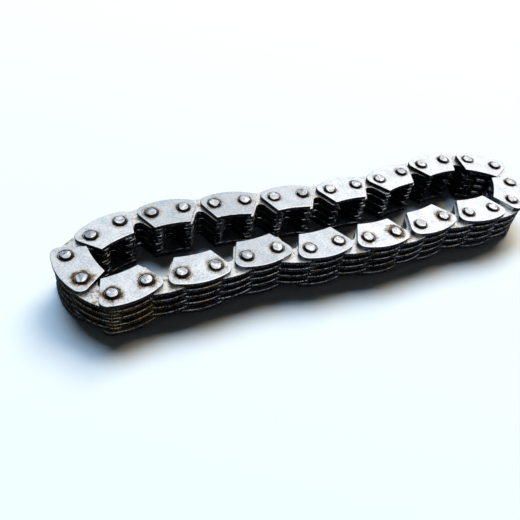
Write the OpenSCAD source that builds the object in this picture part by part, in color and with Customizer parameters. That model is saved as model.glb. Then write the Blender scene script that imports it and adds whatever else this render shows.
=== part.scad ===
// Endless silent chain (inverted-tooth chain) of a pump drive, lying on its side in a narrow loop.
// The teeth point to the inside of the loop. Sizes are in millimetres, and the pins stand along Z.

/* [Chain] */
// Pitch, the distance from pin to pin
pitch = 6.35; // [5.3:0.05:8]
// Thickness of each stamped plate
plate_t = 0.9; // [0.6:0.05:1.5]
// Running gap between neighbouring layers of plates
layer_gap = 0.03; // [0.02:0.01:0.1]
// Toothed links in each inner row; a guide row holds one fewer
inner_links = 4; // [2:1:6]

/* [Pins] */
// Diameter of a pin
pin_d = 2.4; // [1.6:0.1:2.9]
// How far a pin's riveted end stands out of its guide plate
pin_proud = 0.53; // [0.25:0.01:1]
// Bevel round a pin's riveted end
pin_bevel = 0.14; // [0.05:0.01:0.2]
// Clearance all round a pin in the links that turn on it
turning_clearance = 0.04; // [0.02:0.005:0.08]
// Clearance all round a pin in the toothed links of its own row
seat_clearance = 0.02; // [0.01:0.005:0.05]

/* [Guide plate] */
// How far the inner corners reach past the teeth
guide_lip = 0.1; // [0:0.05:0.3]
// Free gap between neighbouring guide plates where the chain is straight
guide_gap = 1.05; // [0.8:0.05:1.5]
// Radius of the rounded ends
guide_end_r = 1.6; // [1.3:0.05:1.95]
// Height of the rounded ends' centres above the pins' centre line
guide_end_rise = 0.76; // [0.5:0.02:1]
// How far the crown of the back rises above the rounded ends
guide_crown_rise = 0.79; // [0.2:0.01:1.5]
// Slope of the end flanks, in degrees
guide_flank = 27; // [24:0.5:32]
// Radius of the inner corners
guide_corner_r = 0.25; // [0.15:0.05:0.4]
// How far the inner edge is hollowed between its corners
guide_hollow = 0.28; // [0.1:0.02:0.5]

/* [Toothed link] */
// Free gap between neighbouring links of one layer where the chain is straight
link_gap = 1.46; // [1.3:0.02:1.9]
// How far the crown of the back rises above the rounded ends
link_crown_rise = 0.55; // [0.1:0.01:1.2]
// How far the teeth reach below the rounded ends
tooth_reach = 1.55; // [1.2:0.01:1.85]
// Slope of the teeth's working flanks, in degrees
tooth_flank = 30; // [27:0.5:34]
// Radius of a tooth's two corners
tooth_corner_r = 0.48; // [0.3:0.02:0.55]
// Depth of the top of the crotch below the centre line
crotch_drop = 0.76; // [0.5:0.02:1.2]
// Radius of the top of the crotch
crotch_r = 1.08; // [0.8:0.02:1.3]
// Slope of the crotch's sides, in degrees
crotch_slope = 28; // [24:0.5:32]

/* [Hidden] */
// Direction of the first row, and how far the chain bends at each pin after it, in degrees and
// inwards positive, as the chain was laid down. The last pin is where the two ends of the chain meet.
first_heading = -52;
front_run = [61, -12, 0, 6, -2, -20, 18, -9, 6, 6, 3, -12, 3, 11];
right_end = [45, 31, 59, 23];
back_run = [15, 8, -2, -5, -4, -2, -3, 0, -1, 3, 2, 8, 15];
bends = concat(front_run, right_end, back_run);

rows = len(bends) + 3;
row_pairs = rows / 2;
layers = 2 * inner_links + 1;
layer_pitch = plate_t + layer_gap;
stack_h = layers * layer_pitch - layer_gap;
pin_r = pin_d / 2;
pin_h = stack_h + 2 * pin_proud;

// A plate's back is one arc that runs tangentially into its two rounded ends
function back_radius(crown, end, end_r) =
    let (drop = crown - end.y)
    (end.x ^ 2 + drop ^ 2 - end_r ^ 2) / (2 * (drop - end_r));
// Where that arc meets the rounded end
function back_tangent(crown, end, end_r) =
    let (r = back_radius(crown, end, end_r), centre = [0, crown - r])
    centre + (end - centre) * r / (r - end_r);
// Centre x of a corner circle that touches a side and the plate's inner edge; the side runs
// tangentially from the circle (centre, radius) with the outward normal
function corner_x(centre, radius, normal, corner) =
    (normal * centre + radius - corner.x - normal.y * corner.y) / normal.x;

link_end = [pitch / 2, 0];
link_end_r = (pitch - link_gap) / 2;
link_crown = link_end_r + link_crown_rise;
tooth_depth = link_end_r + tooth_reach;

guide_end = [pitch - guide_gap / 2 - guide_end_r, guide_end_rise];
guide_crown = guide_end_rise + guide_end_r + guide_crown_rise;
guide_depth = tooth_depth + guide_lip;
guide_normal = [cos(guide_flank), -sin(guide_flank)];
guide_corner_y = guide_corner_r - guide_depth;
guide_corner = [
    corner_x(guide_end, guide_end_r, guide_normal, [guide_corner_r, guide_corner_y]),
    guide_corner_y
];
hollow_r = (guide_corner.x ^ 2 + guide_hollow ^ 2) / (2 * guide_hollow);

tooth_normal = [cos(tooth_flank), -sin(tooth_flank)];
crotch_normal = [cos(crotch_slope), sin(crotch_slope)];
crotch = [0, -crotch_drop - crotch_r];
tooth_corner_y = tooth_corner_r - tooth_depth;
tooth_outer = [
    corner_x(link_end, link_end_r, tooth_normal, [tooth_corner_r, tooth_corner_y]),
    tooth_corner_y
];
tooth_inner = [
    corner_x(crotch, crotch_r, crotch_normal, [-tooth_corner_r, tooth_corner_y]),
    tooth_corner_y
];

// The loop: each row has a heading, and each pin stands one pitch on from the last
function total(list, n) = n == 0 ? 0 : list[n - 1] + total(list, n - 1);
function step(heading) = pitch * [cos(heading), sin(heading)];
function walk(n) = n == 0 ? [0, 0] : walk(n - 1) + step(first_heading + total(bends, n - 1));
// The closing pin is one pitch from both ends of the chain, on the outside of the loop
function closing_pin(last, first) =
    let (half = (first - last) / 2, outwards = [half.y, -half.x] / norm(half))
    last + half + outwards * sqrt(pitch ^ 2 - half * half);
laid = [for (n = [0:rows - 2]) walk(n)];
pin_spots = concat(laid, [closing_pin(laid[rows - 2], laid[0])]);
function pin_at(n) = pin_spots[n % rows];
function row_middle(n) = (pin_at(n) + pin_at(n + 1)) / 2;
// Turn of a row, so that its plates' backs face out of the loop
function row_turn(n) = let (d = pin_at(n) - pin_at(n + 1)) atan2(d.y, d.x);

// How far a plate of this row reaches in a direction, from its back arc or its rounded end
function plate_reach(crown, end, end_r, along, back) =
    let (r = back_radius(crown, end, end_r), tangent = back_tangent(crown, end, end_r))
    back > 0 && along * r < back * tangent.x * sqrt(1 + (along / back) ^ 2)
        ? (crown - r) * back + r
        : end.x * along + end.y * back + end_r;
function row_reach(n, direction) =
    let (
        turn = row_turn(n),
        along = abs(direction * [cos(turn), sin(turn)]),
        back = direction * [-sin(turn), cos(turn)]
    )
    direction * row_middle(n) + (n % 2 == 1
        ? plate_reach(guide_crown, guide_end, guide_end_r, along, back)
        : plate_reach(link_crown, link_end, link_end_r, along, back));
function loop_reach(direction) = max([for (n = [0:rows - 1]) row_reach(n, direction)]);
loop_centre = [
    (loop_reach([1, 0]) - loop_reach([-1, 0])) / 2,
    (loop_reach([0, 1]) - loop_reach([0, -1])) / 2
];

// Guide rows are the odd ones, and inner rows the even ones
function guide_row(n) = 2 * n - 1;
function inner_row(n) = 2 * n - 2;
function name(piece, n) = str(piece, n < 10 ? "_0" : "_", n);

$fn = 64;

guide_steel = [0.82, 0.84, 0.87];
pin_steel = [0.7, 0.72, 0.75];
link_steel = [0.3, 0.3, 0.31];

// Draws its children on both halves of a plate
module both_ends() {
    children();
    mirror([1, 0]) children();
}

module disc(centre, radius) {
    translate(centre) circle(r = radius);
}

// The crown of a plate's back, over the middle of the plate
module back_crown(crown, end, end_r) {
    r = back_radius(crown, end, end_r);
    tangent = back_tangent(crown, end, end_r);
    intersection() {
        disc([0, crown - r], r);
        translate([-tangent.x, 0]) square([2 * tangent.x, crown + 1]);
    }
}

module pin_holes(clearance) {
    both_ends() disc([pitch / 2, 0], pin_r + clearance);
}

module guide_plate() {
    back = back_tangent(guide_crown, guide_end, guide_end_r);
    side = [
        back,
        guide_end,
        guide_end + guide_end_r * guide_normal,
        guide_corner + guide_corner_r * guide_normal,
        guide_corner,
        [guide_corner.x, -guide_depth]
    ];
    color(guide_steel) linear_extrude(plate_t) difference() {
        union() {
            both_ends() {
                polygon(concat([[0, back.y]], side, [[0, -guide_depth]]));
                disc(guide_end, guide_end_r);
                disc(guide_corner, guide_corner_r);
            }
            back_crown(guide_crown, guide_end, guide_end_r);
        }
        disc([0, guide_hollow - guide_depth - hollow_r], hollow_r);
        pin_holes(0);
    }
}

module toothed_link(clearance) {
    back = back_tangent(link_crown, link_end, link_end_r);
    side = [
        back,
        link_end,
        link_end + link_end_r * tooth_normal,
        tooth_outer + tooth_corner_r * tooth_normal,
        tooth_outer,
        [tooth_outer.x, -tooth_depth],
        [tooth_inner.x, -tooth_depth],
        tooth_inner,
        tooth_inner - tooth_corner_r * crotch_normal,
        crotch + crotch_r * crotch_normal
    ];
    color(link_steel) linear_extrude(plate_t) difference() {
        union() {
            both_ends() {
                polygon(concat([[0, back.y]], side, [[0, side[9].y]]));
                disc(link_end, link_end_r);
                disc(tooth_outer, tooth_corner_r);
                disc(tooth_inner, tooth_corner_r);
            }
            back_crown(link_crown, link_end, link_end_r);
        }
        disc(crotch, crotch_r);
        pin_holes(clearance);
    }
}

module pin() {
    color(pin_steel) rotate_extrude() polygon([
        [0, 0],
        [pin_r - pin_bevel, 0],
        [pin_r, pin_bevel],
        [pin_r, pin_h - pin_bevel],
        [pin_r - pin_bevel, pin_h],
        [0, pin_h]
    ]);
}

// Stands its children in a row of the loop, on the lowest layer
module in_row(n) {
    translate(concat(row_middle(n) - loop_centre, [0])) rotate(row_turn(n)) children();
}

module on_layer(n) {
    translate([0, 0, pin_proud + n * layer_pitch]) children();
}

// The two guide plates of a guide row, with its toothed links between them
module guide_row_plates(n) {
    in_row(guide_row(n)) {
        for (layer = [0, layers - 1]) on_layer(layer) guide_plate();
        for (layer = [2:2:layers - 3]) on_layer(layer) toothed_link(seat_clearance);
    }
}

// The two pins that are riveted in those guide plates
module pins(n) {
    in_row(guide_row(n))
        for (side = [-1, 1]) translate([side * pitch / 2, 0, 0]) pin();
}

// The toothed links that join two guide rows and turn on their pins
module inner_row_links(n) {
    in_row(inner_row(n))
        for (layer = [1:2:layers - 2]) on_layer(layer) toothed_link(turning_clearance);
}

for (n = [1:row_pairs]) {
    guide_row_plates(n);
    pins(n);
    inner_row_links(n);
}
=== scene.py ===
"""Looks of the pump drive chain: an endless silent chain that lies on its side on a pale surface."""

import math
import random
from collections import namedtuple

import bmesh
import bpy
from mathutils import Euler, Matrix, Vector, noise


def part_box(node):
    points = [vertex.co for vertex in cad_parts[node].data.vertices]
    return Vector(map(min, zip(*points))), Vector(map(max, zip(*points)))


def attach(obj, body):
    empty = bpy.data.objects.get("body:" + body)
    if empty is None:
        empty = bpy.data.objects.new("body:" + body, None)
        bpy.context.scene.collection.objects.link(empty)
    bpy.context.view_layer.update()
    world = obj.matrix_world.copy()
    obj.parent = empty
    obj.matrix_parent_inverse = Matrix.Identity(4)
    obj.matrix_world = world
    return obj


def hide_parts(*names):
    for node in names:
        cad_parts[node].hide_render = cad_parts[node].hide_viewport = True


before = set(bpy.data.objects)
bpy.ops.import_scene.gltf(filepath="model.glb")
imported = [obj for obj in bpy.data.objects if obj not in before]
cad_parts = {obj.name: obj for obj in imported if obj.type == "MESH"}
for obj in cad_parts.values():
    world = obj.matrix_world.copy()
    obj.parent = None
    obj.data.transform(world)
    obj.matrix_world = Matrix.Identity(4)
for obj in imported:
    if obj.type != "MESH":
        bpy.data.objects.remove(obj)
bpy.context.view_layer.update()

MM = 0.001
FULL_TURN = 2 * math.pi

# The chain's rows, and the names of their CAD nodes and bodies
ROWS = range(1, 18)
PLATES = "guide_row_plates_%02d"
PINS = "pins_%02d"
LINKS = "inner_row_links_%02d"
GUIDE_BODY = "guide_row_%02d"

# Plates and links, in metres
PLATE_T = 0.9 * MM
LAYER_SLACK = 0.01 * MM  # added to the thickness where the outermost layer is looked for
GUIDE_EDGE_R = 0.3 * MM
LINK_EDGE_R = 0.22 * MM

# How their edges are rounded
SAME_CORNER = 1e-7  # CAD corners this close together, in metres, are one
LEVEL_FACES = math.radians(1)  # neighbouring faces this nearly level become one
SHARP_EDGE = math.radians(40)  # edges sharper than this are rounded
ROUNDING_STEPS = 3
SAME_NEW_CORNER = 1e-6  # new corners this close together, in metres, are one
SHADING_WEIGHT = 100  # how much large faces set the shading at the edges beside them

# Pins, in metres
PIN_R = 1.2 * MM
PIN_SIDES = 40
SHANK_START = 0.5 * MM  # how far below the end the round shank starts
# A riveted end's profile: shares of the pin's radius, with how far each lies below the end, in mm
END_PROFILE = (
    (0.15, 0), (0.3, 0), (0.45, 0), (0.58, 0), (0.68, 0),
    (0.76, 0.01), (0.84, 0.035), (0.91, 0.08), (0.96, 0.14), (1, 0.22),
)
# The hammer's dents in it
END_DENTS = 4
DENT_SLOPE = (0.12, 0.4)
DENT_START = (-0.1, 0.75)  # how far from the middle, in shares of the radius
END_LOW = 0.02 * MM  # the whole end lies this much below its highest level
END_ROUGH = 0.04 * MM
END_ROUGH_WIDTH = 0.45 * MM
END_DEPTH = 0.24 * MM  # no spot lies deeper
NOISE_SPAN = 50  # each end takes its roughness from a random place in a field this wide
# The end is out of round by waves of these numbers round it, outside a middle that stays round
WAVES_ROUND = (2, 3, 4, 5)
WAVE_SIZE = 0.035  # at most, in shares of the radius
ROUND_MIDDLE = 0.5  # in shares of the radius

# The photograph's camera
CAMERA_AT = Vector((-54.55, -70.51, 85.27)) * MM
CAMERA_HEADING = math.radians(-31.195)
CAMERA_DOWN = math.radians(46.284)
CAMERA_ROLL = math.radians(8.936)
CAMERA_LENS = 39.588
SENSOR_WIDTH = 36
NEAREST_SEEN = 0.001
FARTHEST_SEEN = 20

# The lamps: name, place, diameter, watts and colour
LAMPS = (
    ("key", Vector((1.0, 0.90, 1.50)), 1.1, 42.5, (1, 0.86, 0.68)),
    ("cool", Vector((0.06, 1.04, 1.70)), 1.0, 36.0, (0.56, 0.76, 1)),
)

# The sky as the camera sees it
SKY_COLOUR = (0.92, 0.96, 1, 1)
# The sky as metal reflects it: its brightest direction, its light there and on the far side, and the
# cosines between which it changes
SKY_BRIGHTEST = (0.6, -0.2, 0.775)
SKY_BRIGHT = (1.44, 1.39, 1.36, 1)
SKY_DARK = (0.24, 0.36, 0.45, 1)
SKY_CHANGES = (-0.1, 0.9)
# How much of it lights matt surfaces
SKY_ON_FLOOR = 0.02

FLOOR_SIZE = 1.8
FLOOR_ROUGHNESS = 0.7
FLOOR_GLOSS = 0.2

# How rusty each guide row is round its left and its right pin, from 0 to 1
RUST = {
    1: (0.9, 0.9), 2: (0.75, 0.65), 3: (0.3, 0.35), 4: (0.15, 0.2), 5: (0.6, 0.95), 6: (0.15, 0.7),
    7: (0.1, 0.15), 8: (0.2, 0.2), 9: (0.15, 0.15), 10: (0.2, 0.3), 11: (0.15, 0.2), 12: (0.2, 0.15),
    13: (0.25, 0.2), 14: (0.5, 0.3), 15: (0.55, 0.25), 16: (0.3, 0.5), 17: (0.3, 0.95),
}
# How rusty the bare top of each inner row is
INNER_RUST = {
    1: 0.8, 2: 0.7, 3: 0.2, 4: 0.5, 5: 0.6, 6: 0.7, 7: 0.6, 8: 0.3, 9: 0.4,
    10: 0.5, 11: 0.4, 12: 0.3, 13: 0.4, 14: 0.5, 15: 0.5, 16: 0.6, 17: 0.6,
}
# How much of a dull film some guide rows have on their outer faces; the rest have none
FILM = {1: 0.06, 2: 0.1, 3: 0.28, 4: 0.17, 13: 0.19, 14: 0.3, 15: 0.23, 17: 0.05}
# How rusty the stamped edges of some rows are; the rest are oily, with a trace of rust
EDGE_RUST = {1: 1.0, 2: 0.5, 5: 0.4, 17: 0.7}
EDGE_RUST_TRACE = 0.1

# How far the rust reaches from a pin's axis, in metres
RUST_LEAST = 1.43 * MM
RUST_MORE = 0.6 * MM  # added where it is worst
RUST_FULL = 0.58 * MM  # this far inside its reach it is full,
RUST_END = 0.46 * MM  # and this far outside it ends
RUST_TONGUES = 2.2 * MM  # how ragged its outline is, in large
RUST_CRUMBS = 1.3 * MM  # and in small
# How far grime and painted shade reach from a pin's axis: a ring at each pin's foot on the guide plates,
# partly painted shade of the pin, and a band on the inner rows beside them, partly painted shade of the
# guide plates
GRIME_SHADE_FULL = 1.56 * MM
GRIME_SHADE_END = 1.86 * MM
GRIME_SHADE_RAGGED = 0.45 * MM
INNER_GRIME_SHADE_FULL = 2.0 * MM
INNER_GRIME_SHADE_END = 2.55 * MM
INNER_GRIME_SHADE_RAGGED = 0.5 * MM

# Depth of the relief on plates and pins
PLATE_RELIEF = 0.05 * MM
PIN_RELIEF = 0.04 * MM


def rgb(red, green, blue):
    return (red, green, blue, 1)


AMBER = rgb(0.36, 0.21, 0.06)
BROWN = rgb(0.07, 0.040, 0.016)
# near-black: oily grime, which also serves as painted shade at the pins' feet, on their sides and beside
# the guide plates
GRIME_AND_SHADE = rgb(0.010, 0.009, 0.008)
BRIGHT_STEEL = rgb(0.86, 0.90, 0.93)
DULL_STEEL = rgb(0.56, 0.62, 0.68)
PIT = rgb(0.16, 0.17, 0.19)
RIM_STEEL = rgb(0.93, 0.95, 0.97)
GUIDE_EDGE = rgb(0.075, 0.085, 0.11)
DARK_STEEL = rgb(0.008, 0.008, 0.009)
GREY_OIL = rgb(0.055, 0.060, 0.068)
WORN_STEEL = rgb(0.50, 0.54, 0.58)
BACK_STEEL = rgb(0.33, 0.36, 0.41)
RUSTY_STEEL = rgb(0.34, 0.27, 0.16)
FILM_GREY = rgb(0.06, 0.11, 0.16)
OILY_BROWN = rgb(0.045, 0.033, 0.020)
LINK_TOP = rgb(0.60, 0.60, 0.57)
END_BRIGHT = rgb(0.90, 0.92, 0.95)
END_DULL = rgb(0.46, 0.49, 0.53)
FLOOR_WHITE = rgb(0.80, 0.87, 0.9)
# the paper as metal reflects it: a painted dark reflection
FLOOR_IN_METAL = rgb(0.07, 0.085, 0.11)


# A short way to write node trees
class Nodes:
    """A node tree. Each method adds a node and returns its output."""

    def __init__(self, tree):
        self.tree = tree

    def put(self, socket, value):
        """Links an output to a socket, or sets the socket's own value."""
        if isinstance(value, bpy.types.NodeSocket):
            self.tree.links.new(value, socket)
        else:
            socket.default_value = value

    def add(self, kind, inputs, **settings):
        """Adds a node and returns the node itself."""
        node = self.tree.nodes.new("ShaderNode" + kind)
        for key, value in settings.items():
            setattr(node, key, value)
        for key, value in inputs.items():
            self.put(node.inputs[key], value)
        return node

    def place(self):
        return self.add("TexCoord", {}).outputs["Object"]

    def normal(self):
        return self.add("NewGeometry", {}).outputs["Normal"]

    def z(self, vector):
        return self.add("SeparateXYZ", {0: vector}).outputs["Z"]

    def scaled(self, vector, x, y, z):
        return self.add("VectorMath", {0: vector, 1: (x, y, z)}, operation="MULTIPLY").outputs[0]

    def distance(self, a, b):
        return self.add("VectorMath", {0: a, 1: b}, operation="DISTANCE").outputs["Value"]

    def dot(self, a, b):
        return self.add("VectorMath", {0: a, 1: b}, operation="DOT_PRODUCT").outputs["Value"]

    def math(self, operation, a, b=0.0):
        return self.add("Math", {0: a, 1: b}, operation=operation).outputs[0]

    def plus(self, a, b):
        return self.math("ADD", a, b)

    def minus(self, a, b):
        return self.math("SUBTRACT", a, b)

    def times(self, a, b):
        return self.math("MULTIPLY", a, b)

    def noise(self, vector, scale, detail=3.0, rough=0.55, twist=0.0):
        inputs = {"Vector": vector, "Scale": scale, "Detail": detail}
        inputs.update({"Roughness": rough, "Distortion": twist})
        return self.add("TexNoise", inputs).outputs["Fac"]

    def cells(self, vector, scale):
        return self.add("TexVoronoi", {"Vector": vector, "Scale": scale}).outputs["Distance"]

    def rise(self, value, low, high, to_low=0.0, to_high=1.0):
        """Goes smoothly from to_low at low to to_high at high."""
        inputs = {"Value": value, "From Min": low, "From Max": high}
        inputs.update({"To Min": to_low, "To Max": to_high})
        return self.add("MapRange", inputs, interpolation_type="SMOOTHSTEP").outputs[0]

    def fall(self, value, low, high, most=1.0):
        """Goes smoothly from most at low to 0 at high."""
        return self.rise(value, low, high, most, 0.0)

    def mix(self, share, a, b):
        """Mixes two colours."""
        return self.add("Mix", {0: share, 6: a, 7: b}, data_type="RGBA").outputs[2]

    def blend(self, share, a, b):
        """Mixes two numbers."""
        return self.add("Mix", {0: share, 2: a, 3: b}, data_type="FLOAT").outputs[0]

    def bump(self, height, strength, distance):
        inputs = {"Height": height, "Strength": strength, "Distance": distance}
        return self.add("Bump", inputs).outputs[0]


class MaterialNodes(Nodes):
    """The node tree of a new material."""

    def __init__(self, name):
        self.material = bpy.data.materials.new(name)
        self.material.use_nodes = True
        super().__init__(self.material.node_tree)
        self.shader = self.tree.nodes["Principled BSDF"]

    def set(self, **values):
        """Fills the shader's sockets, with _ for the spaces in their names."""
        for key, value in values.items():
            self.put(self.shader.inputs[key.replace("_", " ")], value)


# Camera, light and floor
def make_camera():
    data = bpy.data.cameras.new("camera")
    data.lens = CAMERA_LENS
    data.sensor_width = SENSOR_WIDTH
    data.clip_start = NEAREST_SEEN
    data.clip_end = FARTHEST_SEEN
    camera = bpy.data.objects.new("camera", data)
    turn = (
        Euler((0, 0, CAMERA_HEADING)).to_matrix()
        @ Euler((math.pi / 2 - CAMERA_DOWN, 0, 0)).to_matrix()
        @ Euler((0, 0, CAMERA_ROLL)).to_matrix()
    )
    camera.matrix_world = turn.to_4x4()
    camera.location = CAMERA_AT
    bpy.context.scene.collection.objects.link(camera)
    bpy.context.scene.camera = camera


def area_light(name, place, size, watts, colour):
    """A round lamp that shines at the origin. Metal reflects the sky and not the lamp."""
    data = bpy.data.lights.new(name, "AREA")
    data.shape = "DISK"
    data.size = size
    data.energy = watts
    data.color = colour
    lamp = bpy.data.objects.new(name, data)
    lamp.location = place
    lamp.rotation_mode = "QUATERNION"
    lamp.rotation_quaternion = (-place).to_track_quat("-Z", "Y")
    lamp.visible_glossy = False
    bpy.context.scene.collection.objects.link(lamp)


def make_world():
    """A sky that the camera sees nearly white. Metal reflects it, bright and warm on one side, dim and
    cool on the other, but doesn't throw it on the floor, which the lamps light."""
    world = bpy.data.worlds.new("studio")
    world.use_nodes = True
    world.cycles.sampling_method = "NONE"
    bpy.context.scene.world = world
    n = Nodes(world.node_tree)
    toward_bright = n.dot(n.add("TexCoord", {}).outputs["Generated"], SKY_BRIGHTEST)
    sky_in_metal = n.mix(n.rise(toward_bright, *SKY_CHANGES), SKY_DARK, SKY_BRIGHT)
    ray = n.add("LightPath", {}).outputs
    before_floor = n.math("LESS_THAN", ray["Diffuse Depth"], 0.5)
    in_metal = n.times(ray["Is Glossy Ray"], before_floor)
    seen = n.math("MAXIMUM", in_metal, ray["Is Camera Ray"])
    background = world.node_tree.nodes["Background"]
    n.put(background.inputs["Color"], n.mix(in_metal, SKY_COLOUR, sky_in_metal))
    n.put(background.inputs["Strength"], n.math("MAXIMUM", seen, SKY_ON_FLOOR))


def floor_white():
    """White paper, which glossy rays see in a dark colour, a painted dark reflection, so that metal
    reflects it only weakly.
    A view from below looks through it, and what it sees there reflects the sky and not the paper."""
    n = MaterialNodes("floor_white")
    ray = n.add("LightPath", {}).outputs
    in_metal = ray["Is Glossy Ray"]
    n.set(Base_Color=n.mix(in_metal, FLOOR_WHITE, FLOOR_IN_METAL))
    n.set(Roughness=FLOOR_ROUGHNESS, Specular_IOR_Level=FLOOR_GLOSS)
    came_through = n.times(in_metal, n.math("GREATER_THAN", ray["Transparent Depth"], 0.5))
    below = n.math("MAXIMUM", came_through, n.add("NewGeometry", {}).outputs["Backfacing"])
    n.set(Alpha=n.minus(1.0, below))
    return n.material


def make_floor():
    bpy.ops.mesh.primitive_plane_add(size=FLOOR_SIZE, location=(0, 0, 0))
    floor = bpy.context.object
    floor.name = "floor"
    floor.data.materials.append(floor_white())


# Where a spot lies on its row
def flat_place(n):
    """The place seen along the pins, for patterns round a pin."""
    return n.scaled(n.place(), 1, 1, 0)


def from_middle(n, node):
    """How high a spot lies above the middle of its row, and half of the row's height."""
    low, high = (corner.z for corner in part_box(node))
    return n.minus(n.z(n.place()), (low + high) / 2), (high - low) / 2


def faces_out(n, node):
    """How much a spot faces away from the middle of its row, along the pins: 1 on the outer faces,
    0 on the stamped edges, below 0 on the faces that look at the next plate."""
    height, _ = from_middle(n, node)
    return n.times(n.z(n.normal()), n.math("SIGN", height))


def in_outer_layer(n, node):
    """1 in the outermost layer on either side of a row."""
    height, half = from_middle(n, node)
    return n.math("GREATER_THAN", n.math("ABSOLUTE", height), half - (PLATE_T + LAYER_SLACK))


def teeth_point(node, centres):
    """The direction in which a row's teeth point."""
    low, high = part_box(node)
    along = (centres[1] - centres[0]).normalized()
    across = Vector((-along.y, along.x, 0))
    leans = ((low + high) / 2 - (centres[0] + centres[1]) / 2).dot(across)
    return across * math.copysign(1, leans)


def nearest_pin(n, place, centres):
    """The distance to the nearer one of two pins' axes."""
    first, second = (n.distance(place, centre) for centre in centres)
    return n.math("MINIMUM", first, second)


# Steel. A noise's scale is the number of its waves in a metre.
def steel_grain(n, place):
    return n.noise(place, 2600, 4, 0.7)


def rust_round_pins(n, place, centres, amounts):
    """How much of the rust, from 0 to 1, that creeps out from each pin in tongues and fades outwards."""
    tongues = n.minus(n.noise(place, 700, 2, 0.5), 0.5)
    crumbs = n.minus(n.noise(place, 3600, 3, 0.65), 0.5)
    ragged = n.plus(n.times(tongues, RUST_TONGUES), n.times(crumbs, RUST_CRUMBS))
    stains = []
    for centre, amount in zip(centres, amounts):
        reach = RUST_LEAST + RUST_MORE * amount
        strength = min(0.95, 0.36 + 0.66 * amount)
        away = n.plus(n.distance(place, centre), ragged)
        stains.append(n.fall(away, reach - RUST_FULL, reach + RUST_END, strength))
    return n.math("MAXIMUM", *stains)


def tumbled_steel(n, flat, grain, film):
    """Colour of a clean outer face: bright, softly clouded and finely pitted, under a film."""
    tone = n.plus(n.times(grain, 0.7), n.times(n.noise(flat, 420, 3, 0.5), 0.3))
    colour = n.mix(n.rise(tone, 0.38, 0.58), DULL_STEEL, BRIGHT_STEEL)
    pits = n.fall(n.cells(flat, 1100), 0.06, 0.17, 0.8)
    pits = n.times(pits, n.rise(n.noise(flat, 800, 1), 0.54, 0.64))
    return n.mix(film, n.mix(pits, colour, PIT), FILM_GREY)


def guide_face(n, centres, amounts, film):
    """The outer face of a guide plate, stained round the pins and darkened at each pin's foot by grime
    and painted shade: its colour, roughness and relief.
    """
    flat = flat_place(n)
    grain = steel_grain(n, flat)
    stain = rust_round_pins(n, flat, centres, amounts)
    thick = n.plus(n.noise(flat, 2200, 3, 0.6), n.times(stain, 0.12))
    rust = n.mix(n.rise(thick, 0.5, 0.66), AMBER, BROWN)
    colour = n.mix(stain, tumbled_steel(n, flat, grain, film), rust)
    foot = n.plus(nearest_pin(n, flat, centres), n.times(n.noise(flat, 1500, 2), GRIME_SHADE_RAGGED))
    # a near-black ring at each pin's foot: partly grime, partly painted shade of the pin
    colour = n.mix(n.fall(foot, GRIME_SHADE_FULL, GRIME_SHADE_END), colour, GRIME_AND_SHADE)
    return colour, n.blend(stain, n.blend(grain, 0.26, 0.46), 0.6), grain


def parts_of_edge(n, inward):
    """The parts of a row's stamped edge: the flanks that the sprocket pushes and rubs bright, which also
    take a painted highlight, the flanks behind, which stay foul and take painted shade, the teeth's
    tips, and the chain's back. The chain ran clockwise, seen from above."""
    normal = n.normal()
    ahead = n.dot(normal, Vector((-inward.y, inward.x, 0)))
    into = n.dot(normal, inward)
    teeth = n.rise(into, 0.15, 0.4)
    # the flanks ahead get a painted highlight and those behind painted shade, besides their rubbing and
    # oil
    pushed_and_highlit = n.times(n.rise(ahead, 0.4, 0.6), teeth)
    fouled = n.times(n.fall(ahead, -0.6, -0.4), teeth)
    return pushed_and_highlit, fouled, n.rise(into, 0.9, 0.97), n.fall(into, -0.5, -0.2)


Edge = namedtuple("Edge", "colour roughness relief streaks fouled")


def stamped_edge(n, inward, rust):
    """A stamped edge: dark oil with rubbed streaks along it, and rust, plus a painted highlight on the
    flanks that the sprocket pushes and painted shade on the flanks behind. Its colour, roughness and
    relief, with its streaks and how foul and shaded it is."""
    place = n.place()
    upright = n.math("ABSOLUTE", n.z(n.normal()))
    rim = n.times(n.rise(upright, 0.2, 0.5), n.fall(upright, 0.93, 0.99))
    between_plates = n.rise(upright, 0.9, 0.98)
    pushed_and_highlit, fouled, tip, back = parts_of_edge(n, inward)
    streaks = n.noise(n.scaled(place, 0.6, 0.6, 2.8), 1150, 4, 0.68, 0.7)
    grit = n.noise(place, 3800, 3, 0.7)
    gritty = n.times(n.rise(grit, 0.42, 0.58, -0.36, 0.30), back)

    # rubbing along the streaks, plus a painted highlight on the flanks that the sprocket pushes and
    # painted shade on those behind
    wear_and_light = n.plus(streaks, n.times(n.noise(place, 260, 2), 0.35))
    for share, more in (
        (rim, 0.14), (pushed_and_highlit, 0.3), (fouled, -0.4), (tip, 0.1), (between_plates, -0.25), (gritty, 1.0),
    ):
        wear_and_light = n.plus(wear_and_light, n.times(share, more))
    worn_and_lit = n.rise(wear_and_light, 0.79, 0.92)

    specks = n.plus(n.noise(place, 520, 4, 0.7), n.rise(grit, 0.4, 0.6, -0.1, 0.06))
    rusty = n.rise(n.plus(specks, 0.22 * rust), 0.6, 0.72)
    # the flanks that the sprocket pushes take bright steel: partly rubbing, partly a painted highlight
    bare = n.mix(back, n.mix(pushed_and_highlit, WORN_STEEL, BRIGHT_STEEL), BACK_STEEL)
    grey = n.times(n.rise(grit, 0.5, 0.66), n.blend(back, 0.4, 1.0))
    oily = n.mix(rusty, n.mix(grey, DARK_STEEL, GREY_OIL), OILY_BROWN)
    colour = n.mix(worn_and_lit, oily, n.mix(rusty, bare, RUSTY_STEEL))
    relief = n.times(streaks, n.plus(1.0, n.times(pushed_and_highlit, 3.0)))
    return Edge(colour, n.blend(worn_and_lit, 0.55, 0.3), relief, streaks, fouled)


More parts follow.
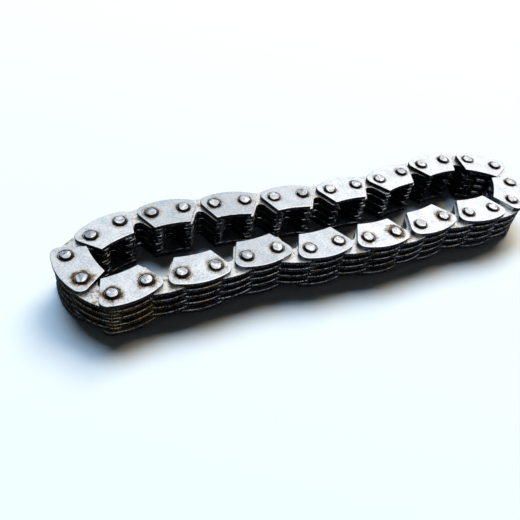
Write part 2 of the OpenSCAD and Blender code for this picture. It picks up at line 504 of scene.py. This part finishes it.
def guide_plate_edge(n, edge, guide, rim):
    """Colour of a guide row's edges: the guide plates' are greyer than the links', with bright rims."""
    plain = n.mix(n.times(guide, n.rise(edge.streaks, 0.4, 0.62, 0.1, 0.55)), edge.colour, GUIDE_EDGE)
    # the flanks behind go near-black and lose their rim polish: partly oil, partly painted shade
    plain = n.mix(edge.fouled, plain, DARK_STEEL)
    polish = n.times(n.rise(edge.streaks, 0.3, 0.5, 0.4, 1.0), n.rise(edge.fouled, 0.0, 1.0, 1.0, 0.3))
    return n.mix(n.times(rim, polish), plain, RIM_STEEL)


def guide_row_steel(node, centres, rust, film, edge_rust):
    """The two guide plates of a row are bright outside, and the toothed links between them are dark."""
    n = MaterialNodes(node + "_steel")
    guide = in_outer_layer(n, node)
    out = faces_out(n, node)
    face = n.times(n.rise(out, 0.94, 0.995), guide)
    rim = n.times(n.rise(out, 0.5, 0.8), guide)
    face_colour, face_roughness, grain = guide_face(n, centres, rust, film)
    edge = stamped_edge(n, teeth_point(node, centres), edge_rust)
    edge_roughness = n.blend(rim, edge.roughness, 0.14)
    n.set(Base_Color=n.mix(face, guide_plate_edge(n, edge, guide, rim), face_colour), Metallic=1.0)
    n.set(Roughness=n.blend(face, edge_roughness, face_roughness))
    n.set(Normal=n.bump(n.blend(face, edge.relief, grain), n.blend(face, 0.9, 0.25), PLATE_RELIEF))
    return n.material


def stained_top(n, centres, rust):
    """The bare top of an inner row's outermost link, with rust stains and a dark band near the pins that
    is partly grime and partly painted shade of the guide plates: its colour and relief.
    """
    flat = flat_place(n)
    grain = steel_grain(n, flat)
    blotch = n.noise(flat, 900, 4, 0.65)
    colour = n.mix(n.rise(grain, 0.36, 0.6), LINK_TOP, BRIGHT_STEEL)
    stain = n.rise(n.plus(blotch, 0.14 * rust), 0.58, 0.74, 0.0, 0.8)
    colour = n.mix(stain, colour, n.mix(n.rise(grain, 0.42, 0.58), BROWN, AMBER))
    # near the pins, beside the guide plates, the top goes near-black: partly grime, partly painted shade
    # cast by the guide plates
    beside = n.plus(nearest_pin(n, flat, centres), n.times(blotch, INNER_GRIME_SHADE_RAGGED))
    return n.mix(n.fall(beside, INNER_GRIME_SHADE_FULL, INNER_GRIME_SHADE_END, 0.95), colour, GRIME_AND_SHADE), grain


def inner_row_steel(node, centres, rust, edge_rust):
    """Toothed links between two guide rows: dark oily edges, and a stained top where it shows, darkened
    beside the guide plates by grime and painted shade.
    """
    n = MaterialNodes(node + "_steel")
    face = n.times(n.rise(faces_out(n, node), 0.8, 0.97), in_outer_layer(n, node))
    top_colour, grain = stained_top(n, centres, rust)
    edge = stamped_edge(n, teeth_point(node, centres), edge_rust)
    n.set(Base_Color=n.mix(face, edge.colour, top_colour), Metallic=1.0)
    n.set(Roughness=n.blend(face, edge.roughness, 0.4))
    n.set(Normal=n.bump(n.blend(face, edge.relief, grain), n.blend(face, 0.9, 0.3), PLATE_RELIEF))
    return n.material


def pin_steel():
    """Bright hammered ends on a near-black shank, which is oily and also painted shade where its side
    shows above the plate.
    """
    n = MaterialNodes("riveted_pin_steel")
    place = n.place()
    end = n.rise(n.math("ABSOLUTE", n.z(n.normal())), 0.78, 0.93)
    marks = n.noise(n.scaled(place, 1, 1, 0.3), 1300, 4, 0.6, 0.8)
    scuffs = n.noise(n.scaled(place, 1, 3, 0.3), 2600, 3, 0.6)
    bright = n.mix(n.rise(marks, 0.42, 0.62), END_DULL, END_BRIGHT)
    bright = n.mix(n.rise(scuffs, 0.56, 0.68, 0.0, 0.6), bright, PIT)
    # the shank and the side of the end above the plate are near-black: oil, and painted shade at the
    # pin's foot
    shank = n.mix(n.rise(marks, 0.52, 0.7), GRIME_AND_SHADE, OILY_BROWN)
    n.set(Base_Color=n.mix(end, shank, bright), Metallic=1.0)
    n.set(Roughness=n.blend(end, 0.45, n.blend(scuffs, 0.18, 0.4)))
    n.set(Normal=n.bump(scuffs, 0.3, PIN_RELIEF))
    return n.material


# Plates and links
def round_edges(node, radius):
    """Rounds a node's stamped edges, with the mesh itself left as it is."""
    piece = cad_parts[node]
    piece.modifiers.new("weld", "WELD").merge_threshold = SAME_CORNER
    flat = piece.modifiers.new("flat faces", "DECIMATE")
    flat.decimate_type = "DISSOLVE"
    flat.angle_limit = LEVEL_FACES
    bevel = piece.modifiers.new("rounded edges", "BEVEL")
    bevel.width = radius
    bevel.segments = ROUNDING_STEPS
    bevel.limit_method = "ANGLE"
    bevel.angle_limit = SHARP_EDGE
    bevel.loop_slide = False  # sliding corners would cross each other in the narrow notches
    piece.modifiers.new("weld corners", "WELD").merge_threshold = SAME_NEW_CORNER
    piece.modifiers.new("even shading", "WEIGHTED_NORMAL").weight = SHADING_WEIGHT
    for face in piece.data.polygons:
        face.use_smooth = True
    return piece


def dress(node, radius, material):
    """Gives a CAD node its rounded edges and its material."""
    piece = round_edges(node, radius)
    piece.data.materials.clear()
    piece.data.materials.append(material)


# Pins
def pin_centres(node):
    """Centres of the two pins that a node holds, from left to right."""
    points = [v.co.copy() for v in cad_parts[node].data.vertices]
    middle = sum(points, Vector()) / len(points)
    far = max(points, key=lambda p: (p - middle).xy.length)
    along = (far - middle).xy.normalized()
    centres = []
    for side in (-1, 1):
        pin = [p for p in points if (p - middle).xy.dot(along) * side > 0]
        low = Vector((min(p.x for p in pin), min(p.y for p in pin), 0))
        high = Vector((max(p.x for p in pin), max(p.y for p in pin), 0))
        centres.append((low + high) / 2)
    return sorted(centres, key=lambda c: c.x)


def pins_through(node, centres):
    """The two pins nearest to the middle of an inner row's box, which are the ones that it turns on."""
    low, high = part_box(node)
    middle = (low + high) / 2
    return sorted(centres, key=lambda centre: (centre - middle).xy.length)[:2]


class HammeredEnd:
    """One end of a pin, as the hammer left it: dented, rough and slightly out of round."""

    def __init__(self, rng):
        self.dents = []
        for _ in range(END_DENTS):
            turn = rng.uniform(0, FULL_TURN)
            slope = rng.uniform(*DENT_SLOPE)
            start = rng.uniform(*DENT_START) * PIN_R
            self.dents.append((Vector((math.cos(turn), math.sin(turn))), slope, start))
        self.noise_at = Vector((rng.uniform(0, NOISE_SPAN), rng.uniform(0, NOISE_SPAN), 0))
        self.waves = [(k, rng.uniform(0, WAVE_SIZE), rng.uniform(0, FULL_TURN)) for k in WAVES_ROUND]

    def drop(self, spot):
        """How far the surface lies below the end's highest level, at a place (x, y) from its middle."""
        dented = max(0.0, *((spot.dot(way) - start) * slope for way, slope, start in self.dents))
        rough = noise.noise(spot.to_3d() / END_ROUGH_WIDTH + self.noise_at) * END_ROUGH
        return min(END_DEPTH, max(0.0, dented + rough + END_LOW))

    def radius(self, share, turn):
        """How far from the middle a ring of the profile lies, in one direction."""
        uneven = sum(size * (1 + math.cos(k * turn + shift)) / 2 for k, size, shift in self.waves)
        return PIN_R * share * (1 - uneven * (share > ROUND_MIDDLE))


def pin_ring(mesh, centre, radius, height):
    """One ring of a pin's vertices. Radius depends on the turn, and height on the spot."""
    ring = []
    for k in range(PIN_SIDES):
        turn = FULL_TURN * k / PIN_SIDES
        spot = Vector((math.cos(turn), math.sin(turn))) * radius(turn)
        ring.append(mesh.verts.new((centre.x + spot.x, centre.y + spot.y, height(spot))))
    return ring


def pin_end(mesh, centre, level, side, rng):
    """Adds a hammered end on a pin's side 1 or -1. Returns its rings, from the middle to the shank."""
    end = HammeredEnd(rng)

    def profile_ring(share, fall):
        return pin_ring(
            mesh, centre,
            lambda turn: end.radius(share, turn),
            lambda spot: level - side * (fall * MM + end.drop(spot)),
        )

    rings = [profile_ring(share, fall) for share, fall in END_PROFILE]
    rings.append(pin_ring(mesh, centre, lambda turn: PIN_R, lambda spot: level - side * SHANK_START))
    middle = mesh.verts.new((centre.x, centre.y, level - side * end.drop(Vector((0, 0)))))
    for k in range(PIN_SIDES):
        mesh.faces.new((middle, rings[0][k], rings[0][(k + 1) % PIN_SIDES]))
    return rings


def riveted_pin(mesh, centre, low, high, rng):
    """Adds a pin to the mesh: a round shank with a hammered end at each side."""
    rings = pin_end(mesh, centre, high, 1, rng)
    rings += reversed(pin_end(mesh, centre, low, -1, rng))
    for upper, lower in zip(rings, rings[1:]):
        for k in range(PIN_SIDES):
            after = (k + 1) % PIN_SIDES
            mesh.faces.new((upper[k], lower[k], lower[after], upper[after]))


def make_pins(node, body, material):
    """Both pins of a guide row, as one piece that stands for their CAD node."""
    low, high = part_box(node)
    rng = random.Random(node)
    mesh = bmesh.new()
    for centre in pin_centres(node):
        riveted_pin(mesh, centre, low.z, high.z, rng)
    bmesh.ops.recalc_face_normals(mesh, faces=mesh.faces)
    data = bpy.data.meshes.new(node)
    mesh.to_mesh(data)
    mesh.free()
    for face in data.polygons:
        face.use_smooth = True
    data.materials.append(material)
    piece = bpy.data.objects.new("riveted_" + node, data)
    bpy.context.scene.collection.objects.link(piece)
    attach(piece, body)
    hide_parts(node)


# The whole chain
def dress_guide_row(number):
    plates = PLATES % number
    centres = pin_centres(PINS % number)
    edge_rust = EDGE_RUST.get(number, EDGE_RUST_TRACE)
    steel = guide_row_steel(plates, centres, RUST[number], FILM.get(number, 0.0), edge_rust)
    dress(plates, GUIDE_EDGE_R, steel)


def dress_inner_row(number, every_pin):
    links = LINKS % number
    edge_rust = EDGE_RUST.get(number, EDGE_RUST_TRACE)
    steel = inner_row_steel(links, pins_through(links, every_pin), INNER_RUST[number], edge_rust)
    dress(links, LINK_EDGE_R, steel)


make_camera()
make_world()
make_floor()
for lamp in LAMPS:
    area_light(*lamp)

steel_of_pins = pin_steel()
every_pin = [centre for number in ROWS for centre in pin_centres(PINS % number)]
for number in ROWS:
    dress_guide_row(number)
    dress_inner_row(number, every_pin)
    make_pins(PINS % number, GUIDE_BODY % number, steel_of_pins)

bpy.context.scene.view_settings.view_transform = "Standard"
